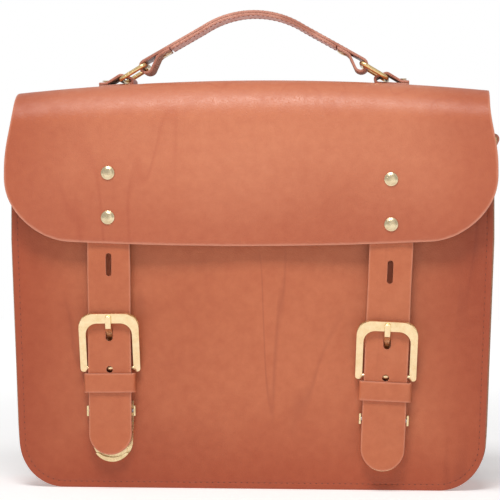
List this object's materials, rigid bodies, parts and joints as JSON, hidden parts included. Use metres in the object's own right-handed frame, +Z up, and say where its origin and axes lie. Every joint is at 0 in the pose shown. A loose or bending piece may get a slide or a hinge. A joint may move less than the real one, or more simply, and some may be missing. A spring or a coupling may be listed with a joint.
{
  "type": "satchel bag",
  "caption": "Leather satchel with a full front flap, buckled straps over quick-release locks, a carrying handle on rings and side rings for a shoulder strap.",
  "frame": {"origin": "bottom centre of the whole bag, on the plane it stands on", "axes": "+X to the right seen from the front, +Y to the back, +Z up; the flap and buckles face -Y"},
  "size_m": [0.3806, 0.0979, 0.3685],
  "materials": {
    "body_leather": "smooth vegetable-tanned leather, waxed",
    "gusset_leather": "smooth vegetable-tanned leather, waxed",
    "flap_leather": "smooth vegetable-tanned leather, waxed",
    "strap_leather": "smooth bridle leather with burnished edges",
    "handle_leather": "smooth bridle leather, stitched, with burnished edges",
    "buckle_brass": "polished cast brass",
    "ring_brass": "polished brass wire",
    "lock_brass": "polished brass plate",
    "rivet_brass": "domed brass caps",
    "steel": "plated steel"
  },
  "bodies": {
    "bag": {"back_panel": "body_leather", "front_panel": "body_leather", "gusset": "gusset_leather", "lock_plate_left": "lock_brass", "lock_plate_right": "lock_brass", "lock_backing_left": "steel", "lock_backing_right": "steel", "lock_rivets": "rivet_brass", "side_tab_left": "body_leather", "side_tab_right": "body_leather", "side_tab_rivets": "rivet_brass", "lock_spring_left_a": "steel", "lock_spring_left_b": "steel", "lock_spring_right_a": "steel", "lock_spring_right_b": "steel"},
    "flap_top": {"flap_crown": "flap_leather", "handle_backing": "handle_leather", "handle_anchor_left": "handle_leather", "handle_anchor_right": "handle_leather", "anchor_rivets": "rivet_brass"},
    "flap_front": {"flap_front": "flap_leather", "strap_root_left": "strap_leather", "strap_root_right": "strap_leather", "flap_rivets": "rivet_brass"},
    "handle": {"handle_strap": "handle_leather", "handle_lining": "handle_leather", "handle_rivets": "rivet_brass"},
    "strap_left": {"strap_left": "strap_leather", "buckle_tab_left": "strap_leather", "keeper_left": "strap_leather", "lock_tongue_left": "lock_brass", "tongue_rivets_left": "rivet_brass"},
    "buckle_left": {"buckle_frame_left": "buckle_brass"},
    "prong_left": {"buckle_prong_left": "buckle_brass"},
    "handle_ring_left": {"handle_ring_left": "ring_brass"},
    "side_ring_left": {"side_ring_left": "ring_brass"},
    "lock_button_left_a": {"lock_button_left_a": "lock_brass"},
    "lock_button_left_b": {"lock_button_left_b": "lock_brass"},
    "strap_right": {"strap_right": "strap_leather", "buckle_tab_right": "strap_leather", "keeper_right": "strap_leather", "lock_tongue_right": "lock_brass", "tongue_rivets_right": "rivet_brass"},
    "buckle_right": {"buckle_frame_right": "buckle_brass"},
    "prong_right": {"buckle_prong_right": "buckle_brass"},
    "handle_ring_right": {"handle_ring_right": "ring_brass"},
    "side_ring_right": {"side_ring_right": "ring_brass"},
    "lock_button_right_a": {"lock_button_right_a": "lock_brass"},
    "lock_button_right_b": {"lock_button_right_b": "lock_brass"}
  },
  "joints": [
    {"name": "flap_hinge", "type": "hinge", "parent": "bag", "child": "flap_top", "pos_m": [0, 0.0476, 0.284], "axis": [-1, 0, 0], "range_deg": [0, 180]},
    {"name": "flap_bend", "type": "hinge", "parent": "flap_top", "child": "flap_front", "pos_m": [0, -0.0454, 0.28], "axis": [-1, 0, 0], "range_deg": [0, 80]},
    {"name": "handle_drop", "type": "slide", "parent": "flap_top", "child": "handle", "axis": [0, 0, 1], "range_m": [-0.008, 0]},
    {"name": "strap_left_swing", "type": "hinge", "parent": "flap_front", "child": "strap_left", "pos_m": [-0.1075, -0.0425, 0.184], "axis": [-1, 0, 0], "range_deg": [0, 90]},
    {"name": "buckle_left_tilt", "type": "hinge", "parent": "strap_left", "child": "buckle_left", "pos_m": [-0.10654, -0.03675, 0.09201], "axis": [0.9999, 0, 0.0105], "range_deg": [0, 2]},
    {"name": "prong_left_tilt", "type": "hinge", "parent": "buckle_left", "child": "prong_left", "pos_m": [-0.10654, -0.03675, 0.09201], "axis": [0.9999, 0, 0.0105], "range_deg": [0, 1]},
    {"name": "handle_ring_left_turn", "type": "hinge", "parent": "flap_top", "child": "handle_ring_left", "pos_m": [-0.1035, 0.0075, 0.315], "axis": [0, -1, 0], "range_deg": [-22.5, 0]},
    {"name": "side_ring_left_swing", "type": "hinge", "parent": "bag", "child": "side_ring_left", "pos_m": [-0.186, 0.0075, 0.2675], "axis": [0, 1, 0], "range_deg": [0, 150]},
    {"name": "lock_button_left_a_press", "type": "slide", "parent": "bag", "child": "lock_button_left_a", "axis": [0.9999, 0, 0.0105], "range_m": [0, 0.0012], "stiffness_N_per_m": 400, "springref_m": -0.001, "deforming": ["lock_spring_left_a"]},
    {"name": "lock_button_left_b_press", "type": "slide", "parent": "bag", "child": "lock_button_left_b", "axis": [-0.9999, 0, -0.0105], "range_m": [0, 0.0012], "stiffness_N_per_m": 400, "springref_m": -0.001, "deforming": ["lock_spring_left_b"]},
    {"name": "strap_right_swing", "type": "hinge", "parent": "flap_front", "child": "strap_right", "pos_m": [0.1075, -0.0425, 0.184], "axis": [-1, 0, 0], "range_deg": [0, 90]},
    {"name": "buckle_right_tilt", "type": "hinge", "parent": "strap_right", "child": "buckle_right", "pos_m": [0.10325, -0.03675, 0.08659], "axis": [0.999, 0, -0.0436], "range_deg": [0, 2]},
    {"name": "prong_right_tilt", "type": "hinge", "parent": "buckle_right", "child": "prong_right", "pos_m": [0.10325, -0.03675, 0.08659], "axis": [0.999, 0, -0.0436], "range_deg": [0, 1]},
    {"name": "handle_ring_right_turn", "type": "hinge", "parent": "flap_top", "child": "handle_ring_right", "pos_m": [0.1035, 0.0075, 0.315], "axis": [0, 1, 0], "range_deg": [-22.5, 0]},
    {"name": "side_ring_right_swing", "type": "hinge", "parent": "bag", "child": "side_ring_right", "pos_m": [0.186, 0.0075, 0.2675], "axis": [0, -1, 0], "range_deg": [0, 150]},
    {"name": "lock_button_right_a_press", "type": "slide", "parent": "bag", "child": "lock_button_right_a", "axis": [0.999, 0, -0.0436], "range_m": [0, 0.0012], "stiffness_N_per_m": 400, "springref_m": -0.001, "deforming": ["lock_spring_right_a"]},
    {"name": "lock_button_right_b_press", "type": "slide", "parent": "bag", "child": "lock_button_right_b", "axis": [-0.999, 0, 0.0436], "range_m": [0, 0.0012], "stiffness_N_per_m": 400, "springref_m": -0.001, "deforming": ["lock_spring_right_b"]}
  ],
  "couplings": [
    {"joint": "handle_ring_left_turn", "follows": "handle_drop", "rad_per_m": 47.8},
    {"joint": "handle_ring_right_turn", "follows": "handle_drop", "rad_per_m": 47.8}
  ]
}
